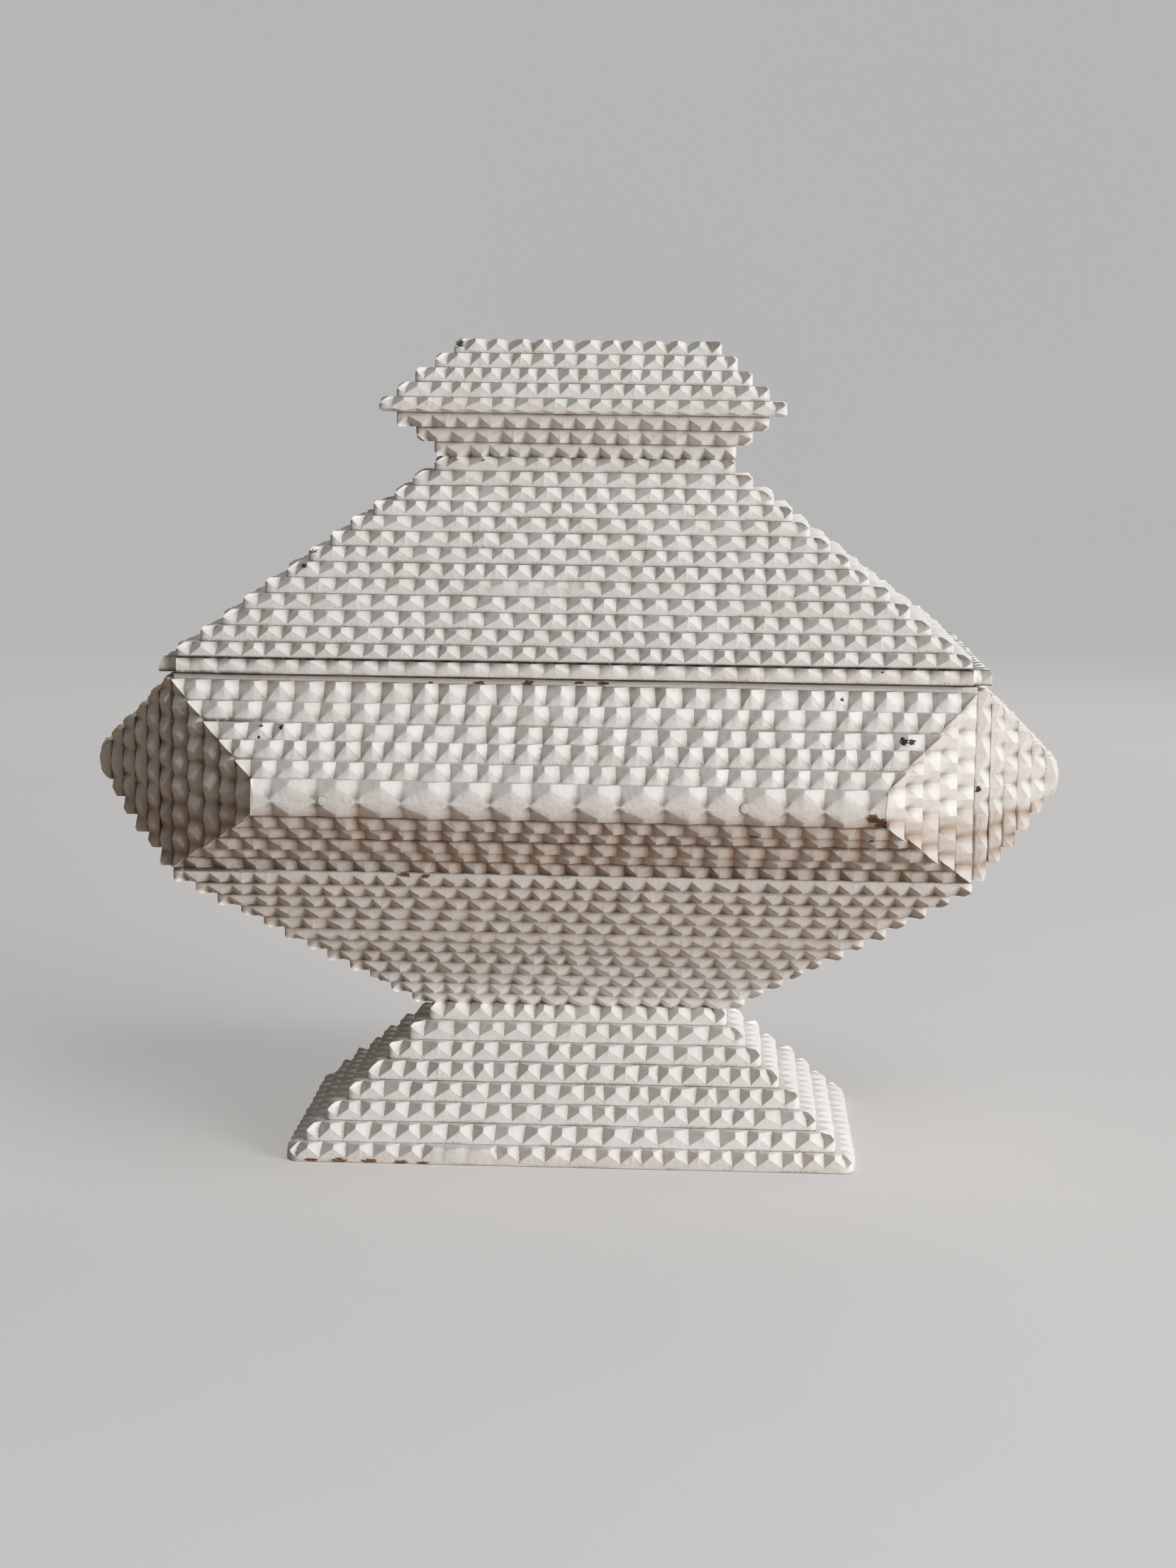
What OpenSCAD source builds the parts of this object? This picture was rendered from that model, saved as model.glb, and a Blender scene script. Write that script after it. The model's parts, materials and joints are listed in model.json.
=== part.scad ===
// Tramp art box: a stepped foot, an inverted stepped bowl, a box body with a
// stepped pyramid on each of its four sides, a hinged stepped lid and a stepped cap.
// Every layer is a thin board whose edge is cut into a row of V notches.
// Units are millimetres, +Z is up, the front faces -Y, the foot rests on Z = 0.

/* [Body] */
// Outside width of the plain box inside the layers
body_w = 265; // [220:1:310]
// Outside depth of the plain box inside the layers
body_d = 156; // [130:1:190]
// Height of the plain box walls
body_h = 64.5; // [56:0.5:80]
// Thickness of the plain box walls
wall_t = 5; // [4:0.1:7]

/* [Side pyramids] */
// Thickness of each layer on the four sides
step_t = 5.2; // [4:0.1:6.5]
// Strip of plain wall left showing under the lid
rim_h = 1.6; // [1.2:0.1:3]
// Height of the ridge bars on the front and back
ridge_h = 12; // [9:0.5:16]
// Height of the ridge bars on the ends
end_ridge_h = 13.4; // [9:0.1:17]
// Share of the front's ledge height that lies above the ridge bar
ledge_share = 0.585; // [0.45:0.005:0.6]
// Ledge at the left and right of each front and back layer
front_ledge_side = 6; // [5:0.1:7]
// Ledge at the left and right of each end layer
end_ledge_side = 5.9; // [5:0.1:7]
// Spacing of the teeth on the side layers
step_pitch = 9.1; // [8:0.1:13]
// Spacing of the teeth on the ridge bars
ridge_pitch = 13.8; // [11:0.1:18]
// Distance from the left end of the front ridge bar to its first nail
nail_left = 23.5; // [10:0.5:50]
// Distance from the right end of the front ridge bar to its second nail
nail_right = 45.5; // [10:0.5:60]

/* [Lid] */
// Open seam between the lid and the walls
lid_gap = 0.6; // [0.4:0.1:1]
// How far the lid stands in from the ends of the front layer
lid_inset = 1.5; // [0.5:0.1:2.5]
// How far the lid stands back from the face of the front layer
lid_back = 0.7; // [0.3:0.1:1.5]
// Thickness of each lid layer
roof_t = 5.05; // [4:0.05:6.5]
// Width of the highest lid layer
top_w = 105; // [90:1:125]
// Depth of the highest lid layer
top_d = 26; // [22:0.5:38]
// Width of the strips of the lid skirt
skirt_w = 12; // [12:0.5:18]
// Spacing of the teeth on the lid
roof_pitch = 8.4; // [7:0.1:11]

/* [Cap] */
// Thickness of each cap layer
cap_t = 5.1; // [4:0.1:6.5]
// Ledge of each cap layer on all four sides
cap_ledge = 5.8; // [4.6:0.1:6]
// Spacing of the teeth on the cap
cap_pitch = 7.6; // [6:0.1:10]

/* [Bowl] */
// Thickness of each bowl layer
bowl_t = 4.85; // [4:0.05:6.5]
// Width of the lowest bowl layer
neck_w = 118.5; // [100:0.5:140]
// Depth of the lowest bowl layer
neck_d = 29; // [22:0.5:44]
// Spacing of the teeth on the bowl
bowl_pitch = 8.3; // [7:0.1:11]

/* [Foot] */
// Width of the lowest foot layer
foot_w = 196; // [170:1:230]
// Depth of the lowest foot layer
foot_d = 118; // [100:1:150]
// Width of the highest foot layer
waist_w = 106; // [90:1:125]
// Depth of the highest foot layer
waist_d = 28; // [22:0.5:40]
// Thickness of each foot layer
foot_t = 5.9; // [4.5:0.1:7]
// Radius of the lowest layer's worn corners
foot_round = 5; // [3:0.5:8]
// Spacing of the teeth on the foot
foot_pitch = 8.5; // [7:0.1:11]

/* [Hinges] */
// Distance from the end of the lid to the middle of each hinge
hinge_inset = 53; // [35:1:70]
// Length of each hinge
hinge_len = 30; // [24:1:40]
// Thickness of the hinge leaves
leaf_t = 1.1; // [0.8:0.1:1.4]
// Outside diameter of the hinge knuckles
knuckle_d = 4.4; // [3.8:0.1:5]
// Diameter of the hinge pins
pin_d = 2; // [1.6:0.1:2.4]

/* [Hidden] */
$fn = 48;
// Layer counts
foot_n = 8;
bowl_n = 12;
step_n = 6;
roof_n = 13;
cap_low_n = 3;
cap_n = 8;
// Wood left between the end of a notch and the next layer or the face below
lip = 0.3;
// Share of a notch's depth by which neighbouring notches cut down the tooth between them
tip_cut = 0.25;
// Reach of the ridge bar notches as shares of the bar's height: front top, front bottom, both on the ends
ridge_cut_up = 0.5;
ridge_cut_down = 0.42;
end_ridge_cut = 0.46;
// Reach and drop of the shallow skirt notches as shares of the layer's thickness
skirt_reach = 0.55;
skirt_drop = 0.72;
// Reach of the notches on the cap's widest layer as a share of the ledge
cap_wide_reach = 0.62;
// Gap round nails and screws in the wood
fit = 0.05;
// Glue line between butted boards
glue = 0.05;
// Running gap of the hinge pin, on the radius
run = 0.06;
// Heights of the main joints, counted from the rest
foot_top = foot_n * foot_t;
body_z = foot_top + bowl_n * bowl_t;
wall_top = body_z + body_h;
lid_z = wall_top + lid_gap;
roof_z = lid_z + roof_t;
cap_z = roof_z + roof_n * roof_t;
// The strip under the lid is deep enough to clear the hinge leaves
rim = max(rim_h, leaf_t + 0.4);
// Ledges of the front and back, the first one wider than the rest
first_share = 1.19;
front_left = body_h - rim - ridge_h;
front_ledge_up = front_left * ledge_share / (step_n - 2 + first_share);
front_ledge_first = first_share * front_ledge_up;
front_ledge_down = front_left * (1 - ledge_share) / (step_n - 1);
// Ledges above and below the end layers
end_ledge = (body_h - rim - end_ridge_h) / (2 * (step_n - 1));
// The bowl's largest layer lies under the walls and the front layer
bowl_w = body_w;
bowl_d = body_d + 2 * step_t;
bowl_ledge_x = (bowl_w - neck_w) / (2 * (bowl_n - 1));
bowl_ledge_y = (bowl_d - neck_d) / (2 * (bowl_n - 1));
// Foot ledges
foot_ledge_x = (foot_w - waist_w) / (2 * (foot_n - 1));
foot_ledge_y = (foot_d - waist_d) / (2 * (foot_n - 1));
// The lid's largest layer nearly covers the front layer
lid_w = body_w - 2 * lid_inset;
lid_d = bowl_d - 2 * lid_back;
roof_ledge_x = (lid_w - top_w) / (2 * (roof_n - 1));
roof_ledge_y = (lid_d - top_d) / (2 * (roof_n - 1));
// The cap's lowest layer is the same size as the lid's highest
cap_w = top_w;
cap_d = top_d;
// Skirt ends reach out over the first end layers
skirt_out = body_w / 2 + step_t - 0.2;
skirt_end_d = body_d;
// Hinge line, behind the layers and in the middle of the seam
hinge_x = lid_w / 2 - hinge_inset;
axis_y = body_d / 2 + step_t + knuckle_d / 2 + 0.4;
axis_z = wall_top + lid_gap / 2;
leaf_gap = 0.1;
leaf_y = body_d / 2 - wall_t + 0.4;
screw_y = body_d / 2 - wall_t / 2;
screw_inset = 5;
screw_dx = hinge_len / 2 - screw_inset;
screw_d = 1.8;
head_d = 3.2;
head_h = 0.8;
lid_screw_len = roof_t - 1.2;
body_screw_len = 10;
// Nails of the front and back ridge bars
nail_d = 1.6;
nail_head_d = 3.8;
nail_head_h = 0.6;
nail_len = 1.75 * step_t;
nail_proud = 0.2;
nail_x = [nail_left - front_w(step_n) / 2, front_w(step_n) / 2 - nail_right];
nail_z = body_z + (front_low(step_n) + front_top(step_n)) / 2;

// Saw-tooth outline of the wood taken out of one side: valleys at 0, tooth tips at high.
// It runs half a tooth past both ends, so that each corner is a tip.
function teeth(len, pitch) = max(3, round(len / pitch));
function saw(len, n, high, out) = concat(
    [for (i = [-1 : 2 * n + 1]) [-len / 2 + i * len / (2 * n), i % 2 == 0 ? high : 0]],
    [[len / 2 + len / (2 * n), out], [-len / 2 - len / (2 * n), out]]);

// Row of V notches on the top arris of the side that faces -Y.
// They run from drop below the arris on the edge to reach in from it on top.
module notch_row(len, dist, top, reach, drop, pitch) {
    run_len = sqrt(reach * reach + drop * drop);
    deep = reach * drop / run_len;
    over = 1;
    translate([0, -dist + reach + over * reach / run_len, top + over * drop / run_len])
        rotate([90 + atan2(drop, reach), 0, 0])
            linear_extrude(height = run_len + 2 * over)
                polygon(saw(len, teeth(len, pitch), deep * (1 - tip_cut), deep + over));
}

// Board with notched top arrises, with its own ledge for each side
module notched(w, d, t, side, front, back, pitch) {
    difference() {
        translate([-w / 2, -d / 2, 0])
            cube([w, d, t]);
        notch_row(w, d / 2, t, front - lip, t - lip, pitch);
        rotate([0, 0, 180])
            notch_row(w, d / 2, t, back - lip, t - lip, pitch);
        rotate([0, 0, 90])
            notch_row(d, w / 2, t, side - lip, t - lip, pitch);
        rotate([0, 0, -90])
            notch_row(d, w / 2, t, side - lip, t - lip, pitch);
    }
}

// Board notched on its upper and its lower arrises
module notched_twice(w, d, t, reach, pitch) {
    drop = t / 2 - lip;
    difference() {
        translate([-w / 2, -d / 2, 0])
            cube([w, d, t]);
        for (turn = [0, 180]) {
            rotate([0, 0, turn])
                notch_row(w, d / 2, t, reach, drop, pitch);
            rotate([0, 0, turn + 90])
                notch_row(d, w / 2, t, reach, drop, pitch);
            translate([0, 0, t])
                mirror([0, 0, 1])
                    rotate([0, 0, turn])
                        notch_row(w, d / 2, t, reach, drop, pitch);
            translate([0, 0, t])
                mirror([0, 0, 1])
                    rotate([0, 0, turn + 90])
                        notch_row(d, w / 2, t, reach, drop, pitch);
        }
    }
}

// Stand a flat layer up on the front, facing -Y
module stand(y, z) {
    translate([0, -y, z])
        rotate([90, 0, 0])
            children();
}

// Size and place of the front and back layers, counted from the wall
function front_w(k) = body_w - 2 * (k - 1) * front_ledge_side;
function front_top(k) = k == 1 ? body_h - rim
    : body_h - rim - front_ledge_first - (k - 2) * front_ledge_up;
function front_low(k) = (k - 1) * front_ledge_down;
function front_h(k) = front_top(k) - front_low(k);
function front_up(k) = k == 1 ? front_ledge_first : front_ledge_up;

// Size and place of the end layers
function end_w(k) = body_d - 2 * (k - 1) * end_ledge_side;
function end_low(k) = (k - 1) * end_ledge;
function end_h(k) = body_h - rim - 2 * end_low(k);

module front_layer(k) {
    stand(body_d / 2 + (k - 1) * step_t, body_z + (front_low(k) + front_top(k)) / 2)
        notched(front_w(k), front_h(k), step_t,
                front_ledge_side, front_ledge_down, front_up(k), step_pitch);
}

module end_layer(k) {
    stand(body_w / 2 + (k - 1) * step_t, body_z + (body_h - rim) / 2)
        notched(end_w(k), end_h(k), step_t, end_ledge_side, end_ledge, end_ledge, step_pitch);
}

// Bar with coarse notches along its upper and lower edges only, the end tips just past its ends
module ridge(w, h, up, down) {
    span = w + 2 * lip;
    difference() {
        translate([-w / 2, -h / 2, 0])
            cube([w, h, step_t]);
        notch_row(span, h / 2, step_t, down, step_t - lip, ridge_pitch);
        rotate([0, 0, 180])
            notch_row(span, h / 2, step_t, up, step_t - lip, ridge_pitch);
    }
}

module front_ridge() {
    h = front_h(step_n);
    stand(body_d / 2 + (step_n - 1) * step_t, body_z + (front_low(step_n) + front_top(step_n)) / 2)
        ridge(front_w(step_n), h, ridge_cut_up * h, ridge_cut_down * h);
}

module end_ridge() {
    h = end_h(step_n);
    stand(body_w / 2 + (step_n - 1) * step_t, body_z + (body_h - rim) / 2)
        ridge(end_w(step_n), h, end_ridge_cut * h, end_ridge_cut * h);
}

// Nails of one ridge bar, grown by a gap when they cut their holes
module nails(gap) {
    for (x = nail_x)
        translate([x, -body_d / 2 - step_n * step_t - nail_proud, nail_z])
            rotate([-90, 0, 0]) {
                cylinder(d = nail_head_d + 2 * gap, h = nail_head_h + gap);
                cylinder(d = nail_d + 2 * gap, h = nail_len + gap);
            }
}

// Both sides of a pair
module front_and_back() {
    children();
    rotate([0, 0, 180])
        children();
}

module both_ends() {
    rotate([0, 0, 90])
        children();
    rotate([0, 0, -90])
        children();
}

// Slab with round corners, all of exact faces
module round_slab(w, d, t, r) {
    translate([-w / 2 + r, -d / 2, 0])
        cube([w - 2 * r, d, t]);
    translate([-w / 2, -d / 2 + r, 0])
        cube([w, d - 2 * r, t]);
    for (x = [-1, 1], y = [-1, 1])
        translate([x * (w / 2 - r), y * (d / 2 - r), 0])
            cylinder(r = r, h = t);
}

// The lowest plate's corners are worn round
module foot_plate(k) {
    w = foot_w - 2 * (k - 1) * foot_ledge_x;
    d = foot_d - 2 * (k - 1) * foot_ledge_y;
    color("gainsboro")
        translate([0, 0, (k - 1) * foot_t])
            if (k == 1)
                intersection() {
                    notched(w, d, foot_t, foot_ledge_x, foot_ledge_y, foot_ledge_y, foot_pitch);
                    round_slab(w, d, foot_t, foot_round);
                }
            else
                notched(w, d, foot_t, foot_ledge_x, foot_ledge_y, foot_ledge_y, foot_pitch);
}

module bowl_plate(k) {
    cut_x = 2 * (bowl_n - k) * bowl_ledge_x;
    cut_y = 2 * (bowl_n - k) * bowl_ledge_y;
    color("antiquewhite")
        translate([0, 0, foot_top + k * bowl_t])
            mirror([0, 0, 1])
                notched(bowl_w - cut_x, bowl_d - cut_y, bowl_t,
                        bowl_ledge_x, bowl_ledge_y, bowl_ledge_y, bowl_pitch);
}

module core_walls() {
    color("tan")
        difference() {
            union() {
                for (turn = [0, 180])
                    rotate([0, 0, turn]) {
                        translate([-body_w / 2, -body_d / 2, body_z])
                            cube([body_w, wall_t, body_h]);
                        translate([body_w / 2 - wall_t, -body_d / 2 + wall_t + glue, body_z])
                            cube([wall_t, body_d - 2 * wall_t - 2 * glue, body_h]);
                    }
            }
            for (x = [-hinge_x, hinge_x])
                translate([x, 0, 0]) {
                    leaf_seat(-1);
                    body_screws_at(fit);
                }
        }
}

module front_back_boards() {
    color("gainsboro")
        front_and_back()
            front_layer(1);
}

module front_back_step(k) {
    color("gainsboro")
        front_and_back()
            difference() {
                front_layer(k);
                nails(fit);
            }
}

module end_boards() {
    color("gainsboro")
        both_ends()
            end_layer(1);
}

module end_step(k) {
    color("gainsboro")
        both_ends()
            end_layer(k);
}

module ridge_bars() {
    color("gainsboro") {
        front_and_back()
            difference() {
                front_ridge();
                nails(fit);
            }
        both_ends()
            end_ridge();
    }
}

module ridge_nails() {
    color("gainsboro")
        front_and_back()
            nails(0);
}

// Skirt of four strips under the lid, the end strips lapped behind the long ones
module lid_skirt() {
    long_y = lid_d / 2 - skirt_w;
    end_in = lid_w / 2 - skirt_w;
    end_reach = skirt_out - lid_w / 2 - lip;
    color("gainsboro")
        difference() {
            union() {
                front_and_back()
                    difference() {
                        translate([-lid_w / 2, -lid_d / 2, lid_z])
                            cube([lid_w, skirt_w, roof_t]);
                        translate([0, 0, lid_z])
                            notch_row(lid_w + 2 * lip, lid_d / 2, roof_t,
                                      skirt_reach * roof_t, skirt_drop * roof_t, roof_pitch);
                    }
                for (turn = [0, 180])
                    rotate([0, 0, turn])
                        difference() {
                            translate([end_in, -skirt_end_d / 2, lid_z])
                                cube([skirt_out - end_in, skirt_end_d, roof_t]);
                            for (s = [-1, 1])
                                translate([end_in - 1, s * (long_y + skirt_w) - skirt_w - glue, lid_z - 1])
                                    cube([lid_w / 2 - end_in + 1 + glue, 2 * (skirt_w + glue), roof_t + 2]);
                            translate([0, 0, lid_z])
                                rotate([0, 0, 90])
                                    notch_row(skirt_end_d + 2 * lip, skirt_out, roof_t,
                                              end_reach, roof_t - lip, roof_pitch);
                        }
            }
            for (x = [-hinge_x, hinge_x])
                translate([x, 0, 0]) {
                    leaf_seat(1);
                    lid_screws_at(fit);
                }
        }
}

module roof_plate(k) {
    cut_x = 2 * (k - 1) * roof_ledge_x;
    cut_y = 2 * (k - 1) * roof_ledge_y;
    color("gainsboro")
        translate([0, 0, roof_z + (k - 1) * roof_t])
            notched(lid_w - cut_x, lid_d - cut_y, roof_t,
                    roof_ledge_x, roof_ledge_y, roof_ledge_y, roof_pitch);
}

// Three layers grow upward, the fourth is the widest, four more shrink upward
module cap_plate(k) {
    steps = k <= cap_low_n ? k - 1 : k == cap_low_n + 1 ? cap_low_n : 2 * cap_low_n + 1 - k;
    w = cap_w + 2 * steps * cap_ledge;
    d = cap_d + 2 * steps * cap_ledge;
    z = cap_z + (k - 1) * cap_t;
    color("gainsboro") {
        if (k <= cap_low_n)
            translate([0, 0, z + cap_t])
                mirror([0, 0, 1])
                    notched(w, d, cap_t, cap_ledge, cap_ledge, cap_ledge, cap_pitch);
        if (k == cap_low_n + 1)
            translate([0, 0, z])
                notched_twice(w, d, cap_t, cap_wide_reach * cap_ledge, cap_pitch);
        if (k > cap_low_n + 1)
            translate([0, 0, z])
                notched(w, d, cap_t, cap_ledge, cap_ledge, cap_ledge, cap_pitch);
    }
}

// Shallow seat for one leaf, cut up into the skirt or down into the wall
module leaf_seat(way) {
    deep = leaf_gap + leaf_t;
    translate([-hinge_len / 2 - fit, leaf_y - fit, way > 0 ? axis_z - 1 : axis_z - deep])
        cube([hinge_len + 2 * fit, axis_y, 1 + deep]);
}

// One leaf with its knuckles; the lid leaf has the middle one, the body leaf the outer two
module leaf(way) {
    third = hinge_len / 3;
    slack = 0.2;
    middle = way > 0;
    starts = middle ? [-third / 2 + slack / 2] : [-hinge_len / 2, third / 2 + slack / 2];
    wide = middle ? third - slack : third - slack / 2;
    bore = middle ? pin_d / 2 + run : pin_d / 2;
    z = middle ? axis_z + leaf_gap : axis_z - leaf_gap - leaf_t;
    difference() {
        union() {
            translate([-hinge_len / 2, leaf_y, z])
                cube([hinge_len, axis_y - knuckle_d / 2 - 0.35 - leaf_y, leaf_t]);
            for (x = starts)
                translate([x, 0, 0]) {
                    translate([0, leaf_y + 1, z])
                        cube([wide, axis_y - leaf_y - 1, leaf_t]);
                    translate([0, axis_y, axis_z])
                        rotate([0, 90, 0])
                            cylinder(d = knuckle_d, h = wide);
                }
        }
        translate([-hinge_len, axis_y, axis_z])
            rotate([0, 90, 0])
                cylinder(r = bore, h = 2 * hinge_len);
        if (middle)
            lid_screws_at(fit);
        else
            body_screws_at(fit);
    }
}

// Countersunk screw, head down at z = 0, shank along +Z
module screw(len, gap) {
    cylinder(d1 = head_d + 2 * gap, d2 = screw_d + 2 * gap, h = head_h);
    cylinder(d = screw_d + 2 * gap, h = len + gap);
}

module lid_screws_at(gap) {
    for (x = [-screw_dx, screw_dx])
        translate([x, screw_y, axis_z + leaf_gap])
            screw(lid_screw_len, gap);
}

module body_screws_at(gap) {
    for (x = [-screw_dx, screw_dx])
        translate([x, screw_y, axis_z - leaf_gap])
            mirror([0, 0, 1])
                screw(body_screw_len, gap);
}

module at_hinges() {
    for (x = [-hinge_x, hinge_x])
        translate([x, 0, 0])
            children();
}

module lid_hinge_leaves() {
    color("goldenrod")
        at_hinges()
            leaf(1);
}

module body_hinge_leaves() {
    color("goldenrod")
        at_hinges()
            leaf(-1);
}

module hinge_pins() {
    color("darkgoldenrod")
        at_hinges()
            translate([-hinge_len / 2, axis_y, axis_z])
                rotate([0, 90, 0])
                    cylinder(d = pin_d, h = hinge_len);
}

module lid_hinge_screws() {
    color("goldenrod")
        at_hinges()
            lid_screws_at(0);
}

module body_hinge_screws() {
    color("goldenrod")
        at_hinges()
            body_screws_at(0);
}

foot_plate(1);  // foot_plate_1
foot_plate(2);  // foot_plate_2
foot_plate(3);  // foot_plate_3
foot_plate(4);  // foot_plate_4
foot_plate(5);  // foot_plate_5
foot_plate(6);  // foot_plate_6
foot_plate(7);  // foot_plate_7
foot_plate(8);  // foot_plate_8
bowl_plate(1);  // bowl_plate_1
bowl_plate(2);  // bowl_plate_2
bowl_plate(3);  // bowl_plate_3
bowl_plate(4);  // bowl_plate_4
bowl_plate(5);  // bowl_plate_5
bowl_plate(6);  // bowl_plate_6
bowl_plate(7);  // bowl_plate_7
bowl_plate(8);  // bowl_plate_8
bowl_plate(9);  // bowl_plate_9
bowl_plate(10);  // bowl_plate_10
bowl_plate(11);  // bowl_plate_11
bowl_plate(12);  // bowl_plate_12
core_walls();
front_back_boards();
front_back_step(2);  // front_back_step_2
front_back_step(3);  // front_back_step_3
front_back_step(4);  // front_back_step_4
front_back_step(5);  // front_back_step_5
end_boards();
end_step(2);  // end_step_2
end_step(3);  // end_step_3
end_step(4);  // end_step_4
end_step(5);  // end_step_5
ridge_bars();
ridge_nails();
body_hinge_leaves();
hinge_pins();
body_hinge_screws();
lid_skirt();
roof_plate(1);  // roof_plate_1
roof_plate(2);  // roof_plate_2
roof_plate(3);  // roof_plate_3
roof_plate(4);  // roof_plate_4
roof_plate(5);  // roof_plate_5
roof_plate(6);  // roof_plate_6
roof_plate(7);  // roof_plate_7
roof_plate(8);  // roof_plate_8
roof_plate(9);  // roof_plate_9
roof_plate(10);  // roof_plate_10
roof_plate(11);  // roof_plate_11
roof_plate(12);  // roof_plate_12
roof_plate(13);  // roof_plate_13
cap_plate(1);  // cap_plate_1
cap_plate(2);  // cap_plate_2
cap_plate(3);  // cap_plate_3
cap_plate(4);  // cap_plate_4
cap_plate(5);  // cap_plate_5
cap_plate(6);  // cap_plate_6
cap_plate(7);  // cap_plate_7
cap_plate(8);  // cap_plate_8
lid_hinge_leaves();
lid_hinge_screws();
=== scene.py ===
"""Looks of a tramp art box: every notched layer as a hand-cut board under worn off-white paint.

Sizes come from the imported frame. Lengths in this file are millimetres unless a name says otherwise.
"""
import json
import math

import bpy
import numpy as np
from mathutils import Matrix


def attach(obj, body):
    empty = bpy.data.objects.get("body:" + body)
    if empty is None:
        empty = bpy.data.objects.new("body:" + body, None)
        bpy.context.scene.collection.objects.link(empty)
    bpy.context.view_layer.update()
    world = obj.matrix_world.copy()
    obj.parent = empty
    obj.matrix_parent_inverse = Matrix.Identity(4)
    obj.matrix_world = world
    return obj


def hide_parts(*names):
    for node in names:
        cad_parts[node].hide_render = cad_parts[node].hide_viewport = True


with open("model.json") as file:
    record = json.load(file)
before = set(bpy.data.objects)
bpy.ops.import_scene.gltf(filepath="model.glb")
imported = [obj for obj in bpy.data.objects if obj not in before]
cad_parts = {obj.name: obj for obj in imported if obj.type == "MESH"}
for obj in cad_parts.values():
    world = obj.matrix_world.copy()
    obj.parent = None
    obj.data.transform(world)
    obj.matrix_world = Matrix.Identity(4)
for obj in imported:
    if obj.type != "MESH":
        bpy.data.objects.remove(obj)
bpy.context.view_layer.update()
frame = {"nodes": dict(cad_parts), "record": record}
NODE_BODY = {n: body for body, nodes in frame["record"]["behaviour"]["bodies"].items() for n in nodes}
METRE = 0.001

# Marks that a board's points carry for the paint: name, the distance that counts as 1, and a far distance
MARKS = "layer_marks"
BASE_SPAN = 6.0
FAR_OFF = 9.0

# Camera: the frame's height and the focal length in pixels, place in millimetres, turn in degrees
PHOTO_H = 2212
FOCAL_PX = 4303.7
CAMERA_AT = (43.2, -1078.4, 266.5)
CAMERA_YAW = 2.17
CAMERA_PITCH = 7.455
CAMERA_ROLL = 0.783
SENSOR = 36.0

# Knife work: how deep tips and valleys are cut, and how far the teeth stray from an even row
TIP_SHARE = 0.25
TIP_SPREAD = 0.055
TIP_LIMITS = (0.1, 0.42)
VALLEY_LIMITS = (0.87, 1.0)
PITCH_STRAY = 0.16
LEAN_STRAY = 0.07
LEAN_IN = 0.12
EASE = 0.1
SEAT = (0.22, 0.22)
SIDE_SEAM = (1.2, 0.55)
VALLEY_LIP = 0.3
WAVE = 0.14
SHIFT = 0.45
FACE_SHARE = (0.76, 0.95)
CORNER_CUT = (0.12, 0.6)
CORNER = 1.8
TURN_DEG = 0.1

# Tooth spacing of each group of layers
FOOT_PITCH = 8.5
BOWL_PITCH = 8.3
STEP_PITCH = 9.1
ROOF_PITCH = 8.4
CAP_PITCH = 7.6
RIDGE_PITCH = 13.8
ROW_STRAY = 0.1


class Link:
    """A shader socket that takes part in Python arithmetic: each operation adds one Math node."""

    def __init__(self, tree, socket):
        self.tree = tree
        self.socket = socket

    def add(self, kind, settings=None, inputs=None, out=0):
        """Adds a node of a type, sets its settings first, then its sockets' values or links."""
        return add_node(self.tree, kind, settings, inputs, out)

    def math(self, operation, first, second=0.0):
        return self.add("ShaderNodeMath", {"operation": operation}, {0: first, 1: second})

    def __add__(self, other):
        return self.math("ADD", self, other)

    def __sub__(self, other):
        return self.math("SUBTRACT", self, other)

    def __rsub__(self, other):
        return self.math("SUBTRACT", other, self)

    def __mul__(self, other):
        return self.math("MULTIPLY", self, other)

    __radd__ = __add__
    __rmul__ = __mul__

    def step(self, low, high):
        """0 below low, 1 above high, smooth between; low may be above high."""
        inputs = {"Value": self, "From Min": low, "From Max": high}
        return self.add("ShaderNodeMapRange", {"interpolation_type": "SMOOTHSTEP"}, inputs)

    def largest(self, other):
        return self.math("MAXIMUM", self, other)


def add_node(tree, kind, settings=None, inputs=None, out=0):
    """Adds one node to a tree and returns the chosen output as a Link."""
    node = tree.nodes.new(kind)
    for name, value in (settings or {}).items():
        if name == "stops":
            ramp_stops(node.color_ramp, value)
        else:
            setattr(node, name, value)
    for name, value in (inputs or {}).items():
        if isinstance(value, Link):
            tree.links.new(value.socket, node.inputs[name])
        else:
            node.inputs[name].default_value = value
    return Link(tree, node.outputs[out]) if len(node.outputs) else Link(tree, None)


def ramp_stops(ramp, stops):
    """Sets a colour ramp's stops from (position, colour) pairs."""
    while len(ramp.elements) < len(stops):
        ramp.elements.new(1.0)
    for element, (position, colour) in zip(ramp.elements, stops):
        element.position = position
        element.color = (*colour, 1.0)


def colour_mix(factor, first, second):
    """Colour that goes from first to second as factor goes from 0 to 1."""
    first = first if isinstance(first, Link) else (*first, 1.0)
    second = second if isinstance(second, Link) else (*second, 1.0)
    settings = {"data_type": "RGBA", "clamp_factor": True}
    return factor.add("ShaderNodeMix", settings, {0: factor, 6: first, 7: second}, 2)


def new_material(name):
    """A material with an empty tree, and the piece's own place in millimetres."""
    material = bpy.data.materials.new(name)
    material.use_nodes = True
    tree = material.node_tree
    tree.nodes.clear()
    place = add_node(tree, "ShaderNodeTexCoord", out=3)
    place = place.add("ShaderNodeVectorMath", {"operation": "SCALE"}, {0: place, "Scale": 1.0 / METRE})
    return material, place


def noise(place, scale, detail=2.0, roughness=0.5):
    """Noise whose features are about 1 / scale millimetres across."""
    inputs = {"Vector": place, "Scale": scale, "Detail": detail, "Roughness": roughness}
    return place.add("ShaderNodeTexNoise", None, inputs)


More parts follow.
